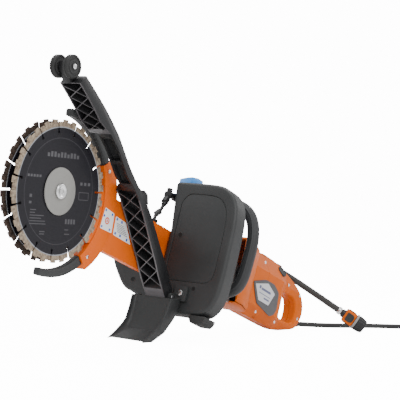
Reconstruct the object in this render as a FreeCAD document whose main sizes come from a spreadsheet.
import FreeCAD, Part
import Sketcher
import math
import os
import re

# Twin-blade cutting saw, millimetres.
# Machine frame: X runs back along the arm from the blade axis, -Y is the operator's left,
# Z is square to the arm. The saw stands nose-up, so each machine piece gets STAND.

SIZES = {
    "tilt": 16.5, "stand_x": -326.0, "stand_y": 25.5, "stand_z": 246.6,
    "blade_radius": 115.0, "core_radius": 103.5, "core_thick": 2.4, "rim_thick": 3.2,
    "blade_gap": 9.0, "segments": 15, "slot_wide": 2.8, "slot_depth": 9.0, "keyhole": 2.6,
    "flange_radius": 38.5, "flange_thick": 1.8, "bolt_radius": 12.5, "spindle_radius": 8.0,
    "running_fit": 0.05, "hub_radius": 44.0, "arm_half": 5.2, "cover_thick": 1.8,
    "guard_inner": 125.0, "guard_half": 6.5,
    "bracket_half": 8.6, "shaft_x": 412.0, "driven_radius": 24.0, "drive_radius": 32.0,
    "belt_wide": 7.0, "belt_thick": 3.5, "motor_y": -42.0, "gear_apex": 12.0, "gear_radius": 36.0,
    "pinion_radius": 12.0, "shield_x": 328.0, "shield_deep": 34.0,
    "shield_wall": 4.0, "panel_recess": 2.4, "panel_thick": 2.0, "hinge_x": 315.0,
    "hinge_z": -85.0, "lever_left": 52.0, "lever_right": 10.0, "lever_wall": 3.0,
    "pin_radius": 4.0, "barrel_radius": 8.0, "wheel_radius": 19.0, "wheel_thick": 10.0,
    "wheel_axle_x": -80.0, "wheel_axle_z": 182.0, "tube_radius": 8.0, "grip_radius": 11.0,
    "loop_x": 400.0, "stator_radius": 36.0, "rotor_radius": 22.0, "motor_front": 490.0,
    "motor_long": 42.0, "shell_half": 28.0, "valve_x": 378.0, "valve_y": 6.0,
    "hose_radius": 6.5, "cord_radius": 5.0, "coil_radius": 55.0, "coil_section": 20.0,
}

# Outlines, as points in the plane of each piece.
OUTLINES = {
    "arm": [(0, 44), (60, 42), (120, 40), (452, 40), (460, 30), (460, -45), (452, -53),
            (120, -53), (60, -47), (0, -44)],
    "arm_hollow": [(0, 38), (60, 36), (300, 37), (446, 37), (456, 26), (456, -40), (448, -49),
                   (120, -49), (60, -41), (0, -38)],
    "shield": [(-8, 44), (4, 134), (-84, 134), (-106, 129), (-124, 117), (-136, 98), (-141, 74),
               (-143, 42), (-143, -34), (-141, -70), (-133, -92), (-115, -109), (-20, -109), (42, -80),
               (62, -75), (80, -57), (105, -22), (105, 8), (92, 28), (8, 28), (8, -56), (-8, -56)],
    "panel": [(-20, 96), (-32, 112), (-92, 112), (-112, 98), (-123, 70), (-123, -40),
              (-110, -51), (-20, -51)],
    "lever": [(-57, 176), (-24, 163), (11.5, 148), (39, 134), (64, 120), (89, 101), (112, 84),
              (145, 64), (172, 54), (180, 46), (210, 24), (248, -9), (281, -36), (303.5, -57),
              (322, -78), (318, -92), (304, -92), (268, -60), (250, -41), (224, -17), (193, 13),
              (160, 42), (138, 56), (112, 68), (92, 83), (68, 101), (40, 115), (7, 124), (-16, 137),
              (-41, 149), (-66, 160)],
    "housing": [(478, -48), (552, -48), (552, 76), (536, 80), (478, 80)],
    "handle": [(552.4, -48), (706, -48), (740, -37.5), (776, -26), (790, -10), (797, 10),
               (787, 38), (753, 60), (705, 74), (652, 82), (608, 83), (552.4, 76)],
    "handle_gap": [(688, -21), (688, 26), (700, 32), (736, 33), (755, 25), (763, 8), (761, -13),
                   (748, -21)],
    "handle_hollow": [(555, -45), (666, -45), (666, 72), (652, 76), (608, 77), (555, 72)],
    "handle_throat": [(660, -45), (684, -45), (684, 66), (660, 72)],
    "insert": [(554, 17), (600, 33), (640, 26), (664, 15), (660, -24), (636, -34), (576, -20)],
    "trigger": [(680, 32), (690, 32), (700, 20), (702, 4), (697, -4), (690, 2), (684, 18)],
    "scoop": [(191, 0), (212, 12), (231, 25), (239, 33), (247, 52), (252, 66), (282, 66),
              (282, 52), (275, 38), (251, 15), (216, 0)],
    "scoop_hollow": [(241, 18), (250, 28.5), (259, 50), (264, 61.5), (300, 61.5), (300, 18)],
    "scoop_dish": [(198, 2.6), (214, 8.5), (235, 19.5), (246, 30), (255, 50), (260, 68),
                   (240, 68), (180, 20)],
    "scoop_lug": [(-54, -58), (-80, -62), (-80, -88), (-54, -88)],
    "knob": [(-10, -9), (-14, 4), (-8, 14), (10, 14), (14, 0), (8, -30), (2, -33)],
}

PLANES = {"side": "XZ_Plane", "front": "YZ_Plane", "top": "XY_Plane"}
AXES = {
    "X": FreeCAD.Rotation(FreeCAD.Vector(0, 1, 0), 90),
    "Y": FreeCAD.Rotation(FreeCAD.Vector(1, 0, 0), 90),
    "Z": FreeCAD.Rotation(),
}

doc = FreeCAD.newDocument("rescue_saw")
sheet = doc.addObject("Spreadsheet::Sheet", "dims")
nodes = {}


def write_sheet():
    row = 0
    for name, value in SIZES.items():
        row += 1
        sheet.set("A%d" % row, name)
        sheet.set("B%d" % row, str(value))
        sheet.setAlias("B%d" % row, name)
    for name, points in OUTLINES.items():
        for index, point in enumerate(points):
            row += 1
            for column, axis, value in (("B", "across", point[0]), ("C", "up", point[1])):
                sheet.set("%s%d" % (column, row), str(value))
                sheet.setAlias("%s%d" % (column, row), "%s_%s_%d" % (name, axis, index))
    doc.recompute()


def bound(text):
    return re.sub(r"(?<![\w.])([a-z][a-z_0-9]*)(?![\w(])", r"dims.\1", str(text))


def size(text):
    value = sheet.evalExpression(bound(text)) if isinstance(text, str) else text
    return float(getattr(value, "Value", value))


def bind(thing, field, text):
    if isinstance(text, str):
        thing.setExpression(field, bound(text))
    else:
        thing.setExpression(field, str(text))


def place(thing, at, axis="Z"):
    thing.Placement = FreeCAD.Placement(FreeCAD.Vector(), AXES[axis])
    for letter, text in zip("xyz", at):
        bind(thing, ".Placement.Base." + letter, text)
    return thing


def loose(thing):
    for letter in "xyz":
        thing.setExpression(".Placement.Base." + letter, None)
    return thing


def cylinder(name, radius, length, at, axis="Z"):
    thing = doc.addObject("Part::Cylinder", name)
    bind(thing, "Radius", radius)
    bind(thing, "Height", length)
    return place(thing, at, axis)


def cone(name, low, high, length, at, axis="Z"):
    thing = doc.addObject("Part::Cone", name)
    bind(thing, "Radius1", low)
    bind(thing, "Radius2", high)
    bind(thing, "Height", length)
    return place(thing, at, axis)


def box(name, sides, at):
    thing = doc.addObject("Part::Box", name)
    for field, text in zip(("Length", "Width", "Height"), sides):
        bind(thing, field, text)
    return place(thing, at)


def torus(name, ring, section, at, axis="Z"):
    thing = doc.addObject("Part::Torus", name)
    bind(thing, "Radius1", ring)
    bind(thing, "Radius2", section)
    return place(thing, at, axis)


def fuse(name, things):
    thing = doc.addObject("Part::MultiFuse", name)
    thing.Shapes = things
    return thing


def cut(name, base, tools):
    thing = doc.addObject("Part::Cut", name)
    thing.Base = base
    thing.Tool = tools[0] if len(tools) == 1 else fuse(name + "_tools", tools)
    return thing


def feature(name, shape):
    thing = doc.addObject("Part::Feature", name)
    thing.Shape = shape
    return thing


def body(name):
    thing = doc.addObject("PartDesign::Body", name)
    thing.AllowCompound = True
    return thing


def plane_of(owner, plane):
    return next(f for f in owner.Origin.OriginFeatures if f.Role == PLANES[plane])


def empty_sketch(owner, plane, lift, name):
    drawing = owner.newObject("Sketcher::SketchObject", name)
    drawing.AttachmentSupport = [(plane_of(owner, plane), "")]
    drawing.MapMode = "FlatFace"
    bind(drawing, ".AttachmentOffset.Base.z", lift)
    return drawing


def pin_point(drawing, line, across, up):
    for kind, text in (("DistanceX", across), ("DistanceY", up)):
        value = size(text)
        if abs(value) < 1e-6:
            axis = -2 if kind == "DistanceX" else -1
            drawing.addConstraint(Sketcher.Constraint("PointOnObject", line, 1, axis))
        elif value > 0:
            index = drawing.addConstraint(Sketcher.Constraint(kind, -1, 1, line, 1, value))
            bind(drawing, "Constraints[%d]" % index, text)
        else:
            index = drawing.addConstraint(Sketcher.Constraint(kind, line, 1, -1, 1, -value))
            bind(drawing, "Constraints[%d]" % index, "-(%s)" % text)


def draw_points(drawing, points):
    spots = [FreeCAD.Vector(size(p[0]), size(p[1]), 0) for p in points]
    first = drawing.GeometryCount
    for here, there in zip(spots, spots[1:] + spots[:1]):
        drawing.addGeometry(Part.LineSegment(here, there), False)
    for index in range(len(spots)):
        line, following = first + index, first + (index + 1) % len(spots)
        drawing.addConstraint(Sketcher.Constraint("Coincident", line, 2, following, 1))
    for index, point in enumerate(points):
        pin_point(drawing, first + index, *point)


def draw_circle(drawing, across, up, radius):
    centre = FreeCAD.Vector(size(across), size(up), 0)
    ring = drawing.addGeometry(Part.Circle(centre, FreeCAD.Vector(0, 0, 1), size(radius)), False)
    index = drawing.addConstraint(Sketcher.Constraint("Radius", ring, size(radius)))
    bind(drawing, "Constraints[%d]" % index, radius)
    for kind, text in (("DistanceX", across), ("DistanceY", up)):
        value = size(text)
        if abs(value) < 1e-6:
            axis = -2 if kind == "DistanceX" else -1
            drawing.addConstraint(Sketcher.Constraint("PointOnObject", ring, 3, axis))
        else:
            ends = (-1, 1, ring, 3) if value > 0 else (ring, 3, -1, 1)
            index = drawing.addConstraint(Sketcher.Constraint(kind, *ends, abs(value)))
            sign = "" if value > 0 else "-"
            bind(drawing, "Constraints[%d]" % index, "%s(%s)" % (sign, text))


def outline(name):
    count = len(OUTLINES[name])
    return [("%s_across_%d" % (name, i), "%s_up_%d" % (name, i)) for i in range(count)]


def sketch(owner, plane, lift, points=None, circles=()):
    drawing = empty_sketch(owner, plane, lift, owner.Name + "_sketch")
    if points:
        draw_points(drawing, points)
    for circle in circles:
        draw_circle(drawing, *circle)
    return drawing


def pad(owner, plane, lift, length, points=None, circles=()):
    thing = owner.newObject("PartDesign::Pad", owner.Name + "_pad")
    thing.Profile = sketch(owner, plane, lift, points, circles)
    bind(thing, "Length", length)
    return thing


def pocket(owner, plane, lift, length, points=None, circles=()):
    doc.recompute()
    before = owner.Shape.Volume
    thing = owner.newObject("PartDesign::Pocket", owner.Name + "_pocket")
    thing.Profile = sketch(owner, plane, lift, points, circles)
    bind(thing, "Length", length)
    thing.Reversed = True
    doc.recompute()
    assert owner.Shape.Volume < before - 0.1, owner.Name + " pocket cuts nothing"
    return thing


def polar(owner, what, count, axis):
    thing = owner.newObject("PartDesign::PolarPattern", owner.Name + "_polar")
    line = next(f for f in owner.Origin.OriginFeatures if f.Role == axis)
    thing.Originals = [what]
    thing.Axis = (line, [""])
    thing.Angle = 360
    bind(thing, "Occurrences", count)
    owner.Tip = thing
    return thing


def fillet(owner, radius, chosen):
    doc.recompute()
    tip = owner.Tip
    names = ["Edge%d" % (i + 1) for i, e in enumerate(tip.Shape.Edges) if chosen(e)]
    thing = owner.newObject("PartDesign::Fillet", owner.Name + "_fillet")
    thing.Base = (tip, names)
    bind(thing, "Radius", radius)
    doc.recompute()
    return thing


def upright(axis, test=lambda spot: True):
    def chosen(edge):
        if edge.Curve.TypeId != "Part::GeomLine":
            return False
        line = edge.Curve.Direction
        return abs(getattr(line, axis)) > 0.999 and test(edge.CenterOfMass)
    return chosen


def node(name, thing, stand=True):
    if stand:
        thing.Placement = stand_placement().multiply(thing.Placement)
    thing.Label = name
    nodes[name] = thing


def stand_placement():
    spot = FreeCAD.Vector(size("stand_x"), size("stand_y"), size("stand_z"))
    return FreeCAD.Placement(spot, FreeCAD.Rotation(FreeCAD.Vector(0, 1, 0), size("tilt")))


def disc(name, radius, bore, start, length, at=("0", "0"), axis="Y"):
    spot, back = spots(at, start, axis), spots(at, "%s-1" % start, axis)
    whole = cylinder(name + "_disc", radius, length, spot, axis)
    hole = cylinder(name + "_bore", bore, "%s+2" % length, back, axis)
    return cut(name + "_ring", whole, [hole])


def spots(at, along, axis):
    if axis == "X":
        return (along, at[0], at[1])
    if axis == "Y":
        return (at[0], "-(%s)" % along, at[1])
    return (at[0], at[1], along)


def wrap(name, things):
    thing = doc.addObject("Part::Compound", name)
    thing.Links = things
    return thing


def turned(thing, degrees):
    spin = FreeCAD.Rotation(FreeCAD.Vector(0, 1, 0), degrees)
    thing.Placement = FreeCAD.Placement(FreeCAD.Vector(), spin).multiply(thing.Placement)
    return thing


def blades():
    pitch = 360 / size("segments")
    for side, start, phase in (("left", "blade_gap", 0), ("right", "-blade_gap-rim_thick", pitch / 2)):
        core = body("core_" + side)
        inset = "%s+(rim_thick-core_thick)/2" % start
        rings = [("0", "0", "core_radius"), ("0", "0", "spindle_radius")]
        pad(core, "side", inset, "core_thick", circles=rings)
        half, low = "slot_wide/2", "core_radius-slot_depth"
        slot = [("-" + half, low), (half, low), (half, "blade_radius"), ("-" + half, "blade_radius")]
        cuts = [pocket(core, "side", inset, "core_thick", slot),
                pocket(core, "side", inset, "core_thick", circles=[("0", low, "keyhole")])]
        polar_cuts(core, cuts)
        node("blade_core_" + side, turned(core, phase))
        rim = body("rim_" + side)
        pad(rim, "side", start, "rim_thick",
            circles=[("0", "0", "blade_radius"), ("0", "0", "core_radius")])
        tall = "blade_radius+1"
        slot = [("-" + half, "core_radius-2"), (half, "core_radius-2"), (half, tall), ("-" + half, tall)]
        polar_cuts(rim, [pocket(rim, "side", start, "rim_thick", slot)])
        node("rim_segments_" + side, turned(rim, phase))


def polar_cuts(owner, cuts):
    thing = polar(owner, cuts[0], "segments", "Y_Axis")
    thing.Originals = cuts


def spindle_group():
    grip = "blade_gap+rim_thick"
    node("blade_spindle", wrap("spindle", [cylinder(
        "spindle_bar", "spindle_radius", "2*(%s+flange_thick)" % grip,
        spots(("0", "0"), "-%s-flange_thick" % grip.replace("+", "-"), "Y"), "Y")]))
    flanges = [disc("spacer_" + name, 18, "spindle_radius", start, 1.3)
               for name, start in (("left", "7.7"), ("right", "-9"))]
    flanges += [disc("flange_" + name, "flange_radius", "spindle_radius", start, "flange_thick")
                for name, start in (("left", grip), ("right", "-blade_gap-rim_thick-flange_thick"))]
    node("blade_flanges", wrap("flanges", flanges))
    node("blade_bolts", wrap("bolts", [
        hex_head("bolt", "bolt_radius", 4, "%s+flange_thick" % grip, "5.2"),
        hex_head("nut", "bolt_radius", 4, "-blade_gap-rim_thick-flange_thick-4", "4")]))
    node("driven_pulley", disc("pulley_small", "driven_radius", "spindle_radius", "-4", 8))


def hex_head(name, radius, tall, start, recess):
    head = cylinder(name + "_head", radius, tall, spots(("0", "0"), start, "Y"), "Y")
    tool = doc.addObject("Part::Prism", name + "_hex")
    tool.Polygon = 6
    bind(tool, "Circumradius", recess)
    bind(tool, "Height", tall)
    depth = 2 if name == "bolt" else -2
    place(tool, spots(("0", "0"), "%s+%d" % (start, depth), "Y"), "Y")
    return cut(name + "_solid", head, [tool])


def arm():
    frame = body("arm_ring")
    pad(frame, "side", "-arm_half", "2*arm_half", outline("arm"))
    pad(frame, "side", "-arm_half", "2*arm_half", circles=[("0", "0", "hub_radius")])
    pocket(frame, "side", "-arm_half", "2*arm_half", outline("arm_hollow"))
    pocket(frame, "side", "-arm_half", "2*arm_half", circles=[("0", "0", 38)])
    node("arm_frame", frame)
    for side, start in (("left", "arm_half"), ("right", "-arm_half-cover_thick")):
        cover = body("cover_" + side)
        pad(cover, "side", start, "cover_thick", outline("arm"))
        pad(cover, "side", start, "cover_thick", circles=[("0", "0", "hub_radius")])
        pocket(cover, "side", start, "cover_thick", circles=[("0", "0", 13)])
        pocket(cover, "side", start, "cover_thick", circles=[("shaft_x", "0", 13)])
        node("arm_cover_" + side, cover)


def belt():
    gap, thick, wide = 0.4, size("belt_thick"), size("belt_wide")
    span, near, far = size("shaft_x"), size("driven_radius") + gap, size("drive_radius") + gap
    loops = [loop_wire(span, near + grow, far + grow) for grow in (thick, 0)]
    faces = [Part.Face(wire) for wire in loops]
    ring = faces[0].cut(faces[1])
    ring.translate(FreeCAD.Vector(0, wide / 2, 0))
    node("drive_belt", feature("belt", ring.extrude(FreeCAD.Vector(0, -wide, 0)).Solids[0]))


def loop_wire(span, near, far):
    lean = math.asin((far - near) / span)

    def rim(centre, radius, angle):
        return FreeCAD.Vector(centre + radius * math.cos(angle), 0, radius * math.sin(angle))

    top, low = math.pi / 2 + lean, -math.pi / 2 - lean
    edges = [
        Part.LineSegment(rim(0, near, top), rim(span, far, top)).toShape(),
        Part.Arc(rim(span, far, top), rim(span, far, 0), rim(span, far, low)).toShape(),
        Part.LineSegment(rim(span, far, low), rim(0, near, low)).toShape(),
        Part.Arc(rim(0, near, low), rim(0, near, math.pi), rim(0, near, top)).toShape(),
    ]
    return Part.Wire(edges)


def bevel(teeth, radius, reach, phase, bars):
    # Straight bevel gear: apex at the origin, axis +Z, teeth tapering to the apex.
    slant = math.hypot(radius, reach)
    out, along = radius / slant, reach / slant
    pitch = 2 * math.pi * radius / teeth
    depth, crown = 2.2, 1.5

    def corner(scale, lift, half):
        spot = slant * scale
        return FreeCAD.Vector(spot * out + lift * scale * along, half * scale,
                              spot * along - lift * scale * out)

    def section(scale):
        low, high = 0.26 * pitch, 0.11 * pitch
        points = [corner(scale, -depth - 0.4, -low), corner(scale, -depth - 0.4, low),
                  corner(scale, crown, high), corner(scale, crown, -high)]
        return Part.makePolygon(points + points[:1])

    root = [corner(scale, -depth, 0) for scale in (1.0, 0.7)]
    blank = Part.makeCone(root[1].x, root[0].x, root[0].z - root[1].z, FreeCAD.Vector(0, 0, root[1].z))
    wheel = [Part.makeCylinder(thick, long, FreeCAD.Vector(0, 0, root[0].z - 1)) for thick, long in bars]
    for index in range(teeth):
        tooth = Part.makeLoft([section(1.0), section(0.7)], True, True)
        tooth.rotate(FreeCAD.Vector(), FreeCAD.Vector(0, 0, 1), (index + phase) * 360 / teeth)
        wheel.append(tooth)
    return blank.multiFuse(wheel)


def gears():
    centre = FreeCAD.Vector(size("shaft_x"), size("motor_y"), 0)
    radius, small = size("gear_radius"), size("pinion_radius")
    wheel = bevel(36, radius, size("gear_apex"), 0, [(16, 11)])
    bore = Part.makeCylinder(size("spindle_radius"), 60)
    thing = feature("crown", wheel.cut(bore))
    thing.Placement = FreeCAD.Placement(centre, FreeCAD.Rotation(FreeCAD.Vector(1, 0, 0), -90))
    node("bevel_gear", thing)
    thing = feature("pinion", bevel(12, small, radius, 0.5, [(9.5, 11), (5, 104.4)]))
    turn = FreeCAD.Rotation(FreeCAD.Vector(0, 1, 0), FreeCAD.Vector(0, 0, 1), FreeCAD.Vector(1, 0, 0))
    thing.Placement = FreeCAD.Placement(centre, turn)
    node("pinion_shaft", thing)


def cross_shaft():
    at = ("shaft_x", "0")
    node("cross_shaft", wrap("counter", [cylinder("counter_bar", "spindle_radius", 73,
                                                  spots(at, "-6", "Y"), "Y")]))
    node("drive_pulley", disc("pulley_large", "drive_radius", "spindle_radius", "-4", 8, at))


def bearings():
    rings = []
    for place_name, at in (("hub", ("0", "0")), ("shaft", ("shaft_x", "0"))):
        rings += [disc("%s_bearing_%s" % (place_name, side), 13, "spindle_radius+running_fit",
                       start, 3, at) for side, start in (("left", "4.4"), ("right", "-7.4"))]
    rings.append(disc("shaft_bearing_end", 15, "spindle_radius+running_fit", "61", 7,
                      ("shaft_x", "0")))
    rings += [disc("rotor_bearing_" + side, 13, "5+running_fit", start, wide, ("motor_y", "0"), "X")
              for side, start, wide in (("front", "472", 6), ("rear", "548", 4))]
    node("ball_bearings", wrap("bearings", rings))


def gear_case():
    outer = box("case_outer", (112, 64.6, 96), ("366", "-72", "-48"))
    inner = box("case_inner", (102, 56.8, 86), ("371", "-68", "-43"))
    arm_side = cylinder("case_arm_bore", 14, 10, spots(("shaft_x", "0"), "4", "Y"), "Y")
    motor_side = cylinder("case_motor_bore", 13, 10, ("470", "motor_y", "0"), "X")
    shell = cut("case_shell", outer, [inner, arm_side, motor_side])
    boss = disc("case_boss", 19, 15, "61", 7.5, ("shaft_x", "0"))
    node("gear_case", fuse("case", [shell, boss]))


def motor():
    at = ("motor_y", "0")
    front, long = "motor_front", "motor_long"
    coils = [disc("rotor_stack", "rotor_radius", 5, front, long, at, "X"),
             disc("commutator_drum", 11, 5, "537", 9, at, "X")]
    coils += [disc("rotor_coil_" + name, 18, 5, start, 4, at, "X")
             for name, start in (("front", "motor_front-4"), ("rear", "motor_front+motor_long"))]
    node("armature", wrap("rotor_coils", coils))
    node("stator", disc("stator_ring", "stator_radius", "rotor_radius+0.8", front, long, at, "X"))
    hub = disc("fan_hub", 30, 5, "481", 1.6, at, "X")
    vanes = []
    for index in range(9):
        vane = loose(box("fan_vane_%d" % index, (3.6, 18, 1.4), ("0", "0", "0")))
        spin = FreeCAD.Rotation(FreeCAD.Vector(1, 0, 0), index * 40)
        centre = FreeCAD.Vector(482.2, size("motor_y"), 0)
        vane.Placement = FreeCAD.Placement(centre, spin).multiply(
            FreeCAD.Placement(FreeCAD.Vector(0, 11, -0.7), FreeCAD.Rotation()))
        vanes.append(vane)
    node("cooling_fan", fuse("fan", [hub] + vanes))
    pieces = []
    for name, low, shell in (("upper", "11.4", "13"), ("lower", "-19.4", "-23")):
        block = box("brush_" + name, (6, 6, 8), ("538.5", "motor_y-3", low))
        sleeve = box("sleeve_" + name, (9, 10, 10), ("537", "motor_y-5", shell))
        room = box("room_" + name, (6, 6, 30), ("538.5", "motor_y-3", "%s-10" % shell))
        pieces += [block, cut("holder_" + name, sleeve, [room])]
    node("brush_gear", wrap("brushes", pieces))


def guard():
    reach, half = 200, "guard_half"
    for side, start, sweep in (("upper", 39.2, 56), ("lower", -86, 46.8)):
        ring = cylinder(side + "_outer", 132, "2*guard_half", spots(("12", "0"), "-guard_half", "Y"), "Y")
        hole = cylinder(side + "_inner", "guard_inner", 40, spots(("0", "0"), "-20", "Y"), "Y")
        wedge = sector(side + "_wedge", reach, start, sweep, half)
        node("guard_arc_" + side, common(side + "_arc", [cut(side + "_ring", ring, [hole]), wedge]))
    ring = cylinder("bracket_ring", 131, "2*bracket_half", spots(("30", "0"), "-bracket_half", "Y"), "Y")
    hole = cylinder("bracket_hole", "guard_inner", 40, spots(("0", "0"), "-20", "Y"), "Y")
    slot = box("bracket_slot", (120, 14.1, 93.6), ("80", "-7.05", "-53.3"))
    wedge = sector("bracket_wedge", reach, -39, 78, "bracket_half")
    node("guard_bracket", common("bracket", [cut("bracket_cut", ring, [hole, slot]), wedge]))


def sector(name, reach, start, sweep, half):
    thing = cylinder(name, reach, "2*" + half, ("0", half, "0"), "Y")
    bind(thing, "Angle", sweep)
    turn = AXES["Y"].multiply(FreeCAD.Rotation(FreeCAD.Vector(0, 0, 1), start))
    thing.Placement = FreeCAD.Placement(thing.Placement.Base, turn)
    return thing


def common(name, things):
    thing = doc.addObject("Part::MultiCommon", name)
    thing.Shapes = things
    return thing


def shield():
    shell = body("shield_shell")
    pad(shell, "front", "shield_x", "shield_deep", outline("shield"))
    fillet(shell, 6, upright("x", lambda spot: spot.z > 100 or spot.z < -70))
    hollow = [(-12, 50), (-2, 130), (-83, 130), (-104, 125), (-121, 113), (-132, 96), (-137, 73),
              (-139, 42), (-139, -34), (-137, -68), (-130, -89), (-113, -105), (-20, -105), (-12, -58)]
    pocket(shell, "front", "shield_x+shield_wall", "shield_deep", hollow)
    wing = [(12, -60), (12, 24), (90, 24), (101, 7), (101, -21), (77, -55), (60, -71), (42, -76)]
    pocket(shell, "front", "shield_x+shield_wall", "shield_deep", wing)
    pocket(shell, "front", "shield_x", "panel_recess", outline("panel"))
    pocket(shell, "front", "shield_x-1", 4, circles=[("-88", "-62", 4), ("44.5", "-58", 4)])
    node("front_shield", shell)
    panel = body("panel_plate")
    pad(panel, "front", "shield_x+panel_recess-panel_thick", "panel_thick", outline("panel"))
    pocket(panel, "front", "shield_x-1", 20, circles=[("-33", "33", 4.2)])
    node("inspection_panel", panel)
    foot = cylinder("foot_round", 17, 38, ("326", "-109", "-109"), "X")
    keep = box("foot_keep", (60, 60, 14), ("320", "-139", "-123.1"))
    node("shield_foot", common("foot", [foot, keep]))


def roller_guard():
    lever = body("lever")
    pad(lever, "side", "lever_right", "lever_left-lever_right", outline("lever"))
    neck = [(-50, 172), (-62, 157), (-86, 175), (-76, 190)]
    pad(lever, "side", "17.5", 14.5, neck)
    wide = "lever_left-lever_right-2*lever_wall"
    start = "lever_right+lever_wall"
    for room in channel_rooms(4):
        pocket(lever, "side", start, wide, room)
    pocket(lever, "side", "lever_right", 14, [(38, 150), (144, 110), (144, 40), (110, 40), (38, 95)])
    for cup in ([(46, 106), (84, 82), (92, 92), (54, 117)], [(92, 78), (126, 56), (132, 66), (98, 90)]):
        pocket(lever, "side", 28, 20, cup)
    boss = cylinder("axle_boss", 9, 14.5, spots(("wheel_axle_x", "wheel_axle_z"), "17.5", "Y"), "Y")
    barrel = cylinder("lever_barrel", "barrel_radius", "lever_left-lever_right",
                      spots(("hinge_x", "hinge_z"), "lever_right", "Y"), "Y")
    bore = cylinder("lever_bore", "pin_radius+running_fit", 60,
                    spots(("hinge_x", "hinge_z"), "0", "Y"), "Y")
    eye = cylinder("axle_bore", 4, 40, spots(("wheel_axle_x", "wheel_axle_z"), "5", "Y"), "Y")
    ribs = feature("lattice", lattice())
    node("roller_guard", cut("lever_solid", fuse("lever_sum", [lever, ribs, boss, barrel]), [bore, eye]))


def channel_rooms(reach):
    # Closed side of each room, then its open side, moved out by reach.
    lower = [(150, 59), (171, 49), (177, 42), (207, 20), (245, -12), (278, -39), (294, -56)]
    upper = [(-52, 170), (-25, 159), (10, 144.5), (33, 133)]
    lower_rim = [(290, -78), (268, -58), (250, -39), (224, -15), (193, 15), (160, 44), (144, 54)]
    upper_rim = [(28, 118), (7, 126), (-16, 139), (-41, 151), (-64, 161)]
    return [room + [(x - 0.6 * reach, z - 0.8 * reach) for x, z in rim]
            for room, rim in ((lower, lower_rim), (upper, upper_rim))]


def lattice():
    # Crossed ribs square to the channel's floor, one pair to each cell.
    wall, low = size("lever_wall"), size("lever_right") + size("lever_wall")
    wide = size("lever_left") - size("lever_right") - 2 * wall
    ribs = []
    for start, end, cells, room in (((150, 50), (290, -66), 6, 0), ((-56, 162), (34, 124), 4, 1)):
        span = FreeCAD.Vector(end[0] - start[0], 0, end[1] - start[1])
        step, lean = span.Length / cells, math.degrees(math.atan2(-span.z, span.x))
        bars = []
        for cell in range(cells):
            for slope in (1, -1):
                turn = math.degrees(math.atan2(wide, step)) * slope
                bar = Part.makeBox(math.hypot(step, wide), 1.6, 60, FreeCAD.Vector(
                    -math.hypot(step, wide) / 2, -0.8, -30))
                bar.rotate(FreeCAD.Vector(), FreeCAD.Vector(0, 0, 1), turn)
                bar.translate(FreeCAD.Vector((cell + 0.5) * step, -low - wide / 2, 0))
                bars.append(bar)
        grid = bars[0].multiFuse(bars[1:])
        grid.rotate(FreeCAD.Vector(), FreeCAD.Vector(0, 1, 0), lean)
        grid.translate(FreeCAD.Vector(start[0], 0, start[1]))
        points = [FreeCAD.Vector(x, -low, z) for x, z in channel_rooms(1)[room]]
        face = Part.Face(Part.makePolygon(points + points[:1]))
        ribs.append(grid.common(face.extrude(FreeCAD.Vector(0, -wide, 0))))
    return Part.makeCompound(ribs)


def wheels():
    at = ("wheel_axle_x", "wheel_axle_z")
    axle = cylinder("axle_bar", 4, 40, spots(at, "5", "Y"), "Y")
    caps = [cylinder("axle_cap_" + name, 6, 1.5, spots(at, start, "Y"), "Y")
            for name, start in (("right", "4"), ("left", "44.5"))]
    node("wheel_axle", fuse("axle", [axle] + caps))
    for side, start in (("right", "6.5"), ("left", "33")):
        tyre = disc("tyre_" + side, "wheel_radius", 12, start, "wheel_thick", at)
        hub = disc("hub_" + side, 12, "4+running_fit", "%s+1" % start, "wheel_thick-2", at)
        node("guard_wheel_" + side, fuse("wheel_" + side, [tyre, hub]))


def hinge():
    at = ("hinge_x", "hinge_z")
    ears = []
    for name, start in (("right", "4"), ("left", "52.6")):
        plate = box("ear_plate_" + name, (13, 5.4, 16), ("315", "-(%s)-5.4" % start, "hinge_z-8"))
        eye = cylinder("ear_eye_" + name, "barrel_radius", 5.4, spots(at, start, "Y"), "Y")
        bore = cylinder("ear_bore_" + name, "pin_radius", 7, spots(at, "%s-1" % start, "Y"), "Y")
        ears.append(cut("ear_" + name, fuse("ear_sum_" + name, [plate, eye]), [bore]))
    lug = body("lug_plate")
    pad(lug, "front", "322", 5.8, outline("scoop_lug"))
    node("hinge_bracket", fuse("ears", ears + [lug]))
    pins = [cylinder("pin_bar", "pin_radius", 56, spots(at, "3", "Y"), "Y"),
            cylinder("trigger_bar", 2, 19, spots(("685", "28"), "32.5", "Y"), "Y")]
    node("hinge_pins", wrap("pins", pins))


def tube(points, radius):
    # Straight runs joined by tangent arcs, swept with a round section.
    spots = [FreeCAD.Vector(*p) for p in points]
    edges, start, bends = [], spots[0], []
    for before, here, after in zip(spots, spots[1:], spots[2:]):
        inward, outward = (here - before), (after - here)
        turn = inward.getAngle(outward)
        cut_back = 0.45 * min(inward.Length, outward.Length)
        bends.append(round(cut_back / math.tan(turn / 2)))
        first = here - inward.normalize() * cut_back
        last = here + outward.normalize() * cut_back
        bisector = (last + first) * 0.5 - here
        bend = cut_back / math.tan(turn / 2)
        middle = here + bisector.normalize() * (bend / math.cos(turn / 2) - bend)
        edges.append(Part.LineSegment(start, first).toShape())
        edges.append(Part.Arc(first, middle, last).toShape())
        start = last
    edges.append(Part.LineSegment(start, spots[-1]).toShape())
    wire = Part.Wire(edges)
    heading = spots[1] - spots[0]
    section = Part.Wire([Part.makeCircle(radius, spots[0], heading)])
    solid = wire.makePipeShell([section], True, True)
    expected = math.pi * radius ** 2 * wire.Length
    assert abs(solid.Volume / expected - 1) < 0.01, "tube volume"
    print("tube length %.0f mm, bend radii %s" % (wire.Length, bends))
    return solid


LOOP = [(-72.2, -34), (-112, -52), (-139, -20), (-142, 52), (-120, 106), (-70, 121), (-24, 112),
        (-20, 48.2)]


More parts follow.
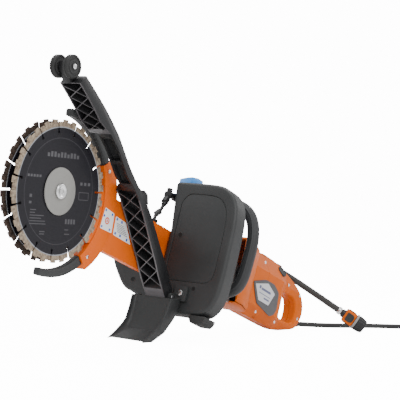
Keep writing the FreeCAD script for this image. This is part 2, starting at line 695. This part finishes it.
def front_handle():
    across = [(size("loop_x"), y, z) for y, z in LOOP]
    node("front_handle_tube", feature("handle_tube", tube(across, size("tube_radius"))))
    sleeve = [(size("loop_x"), y, z) for y, z in LOOP[1:-2]]
    sleeve = [blend(sleeve[0], sleeve[1], 0.5)] + sleeve[1:-1] + [blend(sleeve[-2], sleeve[-1], 0.54)]
    outer = tube(sleeve, size("grip_radius"))
    inner = tube(sleeve, size("tube_radius"))
    node("front_handle_grip", feature("handle_grip", outer.cut(inner)))


def blend(first, last, share):
    return tuple(a + (b - a) * share for a, b in zip(first, last))


def motor_housing():
    shell = body("housing_shell")
    pad(shell, "side", "-4", 92, outline("housing"))
    fillet(shell, 12, upright("x", lambda spot: spot.x > 500))
    room = [(477, -45), (548, -45), (548, 70), (535, 76), (477, 76)]
    pocket(shell, "side", "-1", 86, room)
    bore = [("motor_y", "0", 13)]
    pocket(shell, "front", "545", 20, circles=bore)
    node("motor_housing", shell)


def rear_handle():
    slot = [(676, -10), (696, -10), (696, 35), (676, 35)]
    for side, start, seam, slot_start in (("left", "42", "42", "42"), ("right", "14", "17", "32.5")):
        half = body("handle_" + side)
        pad(half, "side", start, "shell_half", outline("handle"))
        outside = -70 if side == "left" else -14
        fillet(half, 7, lambda edge: abs(edge.CenterOfMass.y - outside) < 0.01)
        pocket(half, "side", start, "shell_half", outline("handle_gap"))
        pocket(half, "side", seam, 25, outline("handle_hollow"))
        throat = 42 if side == "left" else 31
        pocket(half, "side", throat, 11, outline("handle_throat"))
        deep, edge = (-57.5, -72) if side == "left" else (-26.5, -12)
        taper = [(672, outside), (706, deep), (800, deep), (800, edge), (672, edge)]
        pocket(half, "top", "-60", 160, taper)
        pocket(half, "side", slot_start, 9.5, slot)
        button = box("button_room_" + side, (25, 13, 40), ("665.5", "-48.5", "54"))
        boot = loose(cylinder("boot_room_" + side, 7, 60, ("0", "0", "0"), "X"))
        boot.Placement = boot_place()
        node("rear_handle_" + side, cut("handle_solid_" + side, half, [button, boot]))
    insert = body("insert_plate")
    pad(insert, "side", "70", 1.6, outline("insert"))
    node("handle_insert", insert)


def screws():
    heads = [cylinder("lug_head", 5, 4, ("318", "-68", "-74"), "X")]
    for index, (x, z) in enumerate(((584, -38), (664, -38), (776, -4), (766, 42), (712, 50), (580, 60))):
        face = "70" if x < 672 else "57.5"
        heads.append(cylinder("case_screw_%d" % index, 3, 1.2, spots((str(x), str(z)), face, "Y"), "Y"))
    for index, (angle, low) in enumerate(((33, "8.6"), (-33, "8.6"), (33, "-9.6"), (-33, "-9.6"))):
        spot = (138 * math.cos(math.radians(angle)), 138 * math.sin(math.radians(angle)))
        heads.append(cylinder("bracket_screw_%d" % index, 3.2, 1, spots(
            ("%.3f" % spot[0], "%.3f" % spot[1]), low, "Y"), "Y"))
    node("case_screws", wrap("screw_heads", heads))


BOOT_START = (742.0, -42.0, 9.0)


def boot_place():
    # The cord's boot lies level, so its place is undone from the stand's.
    level = FreeCAD.Placement(FreeCAD.Vector(*BOOT_START) + base_shift(), AXES["X"])
    return stand_placement().inverse().multiply(level)


def base_shift():
    return FreeCAD.Vector(size("stand_x"), size("stand_y"), 0)


def trigger_group():
    lever = body("trigger_lever")
    pad(lever, "side", "34", 16, outline("trigger"))
    pocket(lever, "side", "34", 16, circles=[("685", "28", 2.05)])
    node("trigger", lever)
    cap = box("button_cap", (24, 12, 21.5), ("666", "-48", "61"))
    rounded = doc.addObject("Part::Fillet", "button_round")
    rounded.Base = cap
    doc.recompute()
    edges = [i + 1 for i, e in enumerate(cap.Shape.Edges) if upright("z")(e)]
    rounded.Edges = [(index, 5.5, 5.5) for index in edges]
    node("lock_button", rounded)
    node("power_switch", wrap("switch", [box("switch_box", (26, 20, 26), ("650", "-52", "-8"))]))
    board = box("board_plate", (66, 1.6, 52), ("574", "-34", "-34"))
    chips = [box("chip_%d" % i, (12, 7, 10), (str(582 + 19 * i), "-41", "-12")) for i in range(3)]
    node("control_board", fuse("board", [board] + chips))


def water_valve():
    at = ("valve_x", "valve_y")
    stock = cylinder("valve_stock", 9, 42, spots(at, "96", "Z"))
    inlet = cylinder("valve_inlet", 7, 22, ("valve_x", "valve_y+5", "110"), "X")
    seat = cylinder("valve_seat", 4, 12, spots(at, "130", "Z"))
    node("water_valve", cut("valve", fuse("valve_sum", [stock, inlet]), [seat]))
    knob = body("knob_plate")
    lifted = [("valve_x+%g" % x, "valve_y-6+%g" % -y) for x, y in OUTLINES["knob"]]
    pad(knob, "top", "144", 11, lifted)
    stem = cylinder("knob_stem", 3.95, 13, spots(at, "131.5", "Z"))
    collar = cylinder("knob_collar", 8, 5.6, spots(at, "138.4", "Z"))
    node("valve_knob", fuse("knob_solid", [knob, stem, collar]))
    body_tube = cylinder("fitting_body", 5.5, 36, ("333", "12", "108"), "X")
    nut = cylinder("fitting_nut", 7, 9, ("345", "12", "108"), "X")
    elbow = feature("fitting_elbow", tube([(338, 12, 108), (330, 12, 106), (324, 12, 96), (319, 12, 84)], 5))
    nipple = cylinder("nipple", 5, 5, ("285", "0", "40"), "Z")
    node("hose_fittings", wrap("fittings", [fuse("fitting", [body_tube, nut, elbow]), nipple]))
    node("arm_hose", feature("arm_hose_tube", tube(
        [(318.8, 12, 83.5), (313.2, 12, 70), (300, 7, 60.5), (287.5, 0.7, 57.5), (285, 0, 45.1)], 3.2)))


def level(point):
    # A point given on the floor below the blade axis, in the part's own frame.
    return FreeCAD.Vector(*point) + base_shift()


def machine(point):
    return stand_placement().multVec(FreeCAD.Vector(*point))


def scoop():
    chute = body("scoop_shell")
    pad(chute, "side", "-14", 78, outline("scoop"))
    pocket(chute, "side", "-10.5", 71, outline("scoop_hollow"))
    pocket(chute, "side", "-11", 72, outline("scoop_dish"))
    chute.Placement = FreeCAD.Placement(base_shift(), FreeCAD.Rotation())
    node("splash_scoop", chute, stand=False)


HOSE = [(400, 11, 110), (440, 18, 100), (500, 26, 84), (575, 30, 74), (650, 32, 78), (710, 30, 88),
        (752, 20, 98)]
HOSE_END = [(790, -30, 94), (836, -112, 39.4)]
CORD = [(774.2, -42, 9), (822, -54, 6.2), (885, -78, 5.2), (962, -106, 5.6), (1040, -142, 5.2),
        (1098, -174, 5.4)]
COIL = (1084.0, -236.0)
TAIL = [(1141, -246, 8), (1160, -268, 10), (1168, -300, 14), (1170, -330, 18.3)]


def supply_hose():
    route = [tuple(machine(p)) for p in HOSE] + [tuple(level(p)) for p in HOSE_END]
    node("supply_hose", feature("hose", tube(route, size("hose_radius"))), stand=False)
    tip, before = FreeCAD.Vector(*route[-1]), FreeCAD.Vector(*route[-2])
    along = FreeCAD.Rotation(FreeCAD.Vector(0, 0, 1), tip - before)
    frame = FreeCAD.Placement(tip, along)
    clamp = disc("clamp_band", 8.4, "hose_radius", "-9", 7, axis="Z")
    stub = cylinder("coupler_stub", 8, 6, ("0", "0", "0.1"))
    core = cylinder("coupler_core", 9, 40, ("0", "0", "6.1"))
    nose = cone("coupler_nut", 16.5, 12, 20, ("0", "0", "36.5"))
    collar = cylinder("coupler_collar", 17, 3, ("0", "0", "33"))
    sleeve = disc("coupler_skin", 17, "9.3", "7", 24, axis="Z")
    bore = cylinder("coupler_bore", 7, 20, ("0", "0", "42"))
    for name, thing in (("hose_clamp", clamp), ("coupler_body", cut("coupler", fuse(
            "coupler_sum", [stub, core, nose, collar]), [bore])), ("coupler_sleeve", sleeve)):
        thing.Placement = frame
        node(name, thing, stand=False)


def power_cord():
    route = [tuple(level(p)) for p in CORD]
    node("power_cord", feature("cord", tube(route, size("cord_radius"))), stand=False)
    boot = cone("boot_cone", 6.9, 6, 32, ("0", "0", "0"))
    boot = wrap("boot", [boot])
    boot.Placement = FreeCAD.Placement(level(BOOT_START), AXES["X"])
    node("cord_boot", boot, stand=False)
    half = size("coil_section") / 2
    centre = level((COIL[0], COIL[1], half))
    ring = torus("coil_ring", "coil_radius", "coil_section/2", ("0", "0", "0"))
    coil = wrap("coil", [ring])
    coil.Placement = FreeCAD.Placement(centre, FreeCAD.Rotation())
    node("cord_coil", coil, stand=False)
    tail = [tuple(level(p)) for p in TAIL]
    node("cord_tail", feature("tail", tube(tail, size("cord_radius"))), stand=False)
    plug(tail)


def plug(tail):
    tip, before = FreeCAD.Vector(*tail[-1]), FreeCAD.Vector(*tail[-2])
    flat = FreeCAD.Vector(tip.x - before.x, tip.y - before.y, 0)
    frame = FreeCAD.Placement(tip, FreeCAD.Rotation(FreeCAD.Vector(0, 0, 1), flat))
    grip = cone("plug_grip", 8, 15, 34, ("0", "0", "0.2"))
    face = cylinder("plug_face", 18, 8, ("0", "0", "34.2"))
    shell = fuse("plug_sum", [grip, face])
    shell.Placement = frame
    node("mains_plug", shell, stand=False)
    pins = [cylinder("pin_" + side, 2.4, 19, (offset, "0", "42.2"))
            for side, offset in (("left", "-9.5"), ("right", "9.5"))]
    pair = wrap("plug_prongs", pins)
    pair.Placement = frame
    node("plug_pins", pair, stand=False)


def main():
    write_sheet()
    for make in (blades, spindle_group, arm, belt, gears, cross_shaft, bearings, gear_case, motor,
                 guard, shield, roller_guard, wheels, hinge, front_handle, motor_housing,
                 rear_handle, screws, trigger_group, water_valve, scoop, supply_hose, power_cord):
        make()
        print("made", make.__name__)
    doc.recompute()
    failed = [thing.Label for thing in doc.Objects if {"Invalid", "Error"} & set(thing.State)]
    assert not failed, failed
    os.makedirs("parts", exist_ok=True)
    for name, thing in nodes.items():
        assert not thing.Shape.isNull() and thing.Shape.isValid(), name
        thing.Shape.exportStep("parts/%s.step" % name)
    print("%d nodes" % len(nodes))


main()
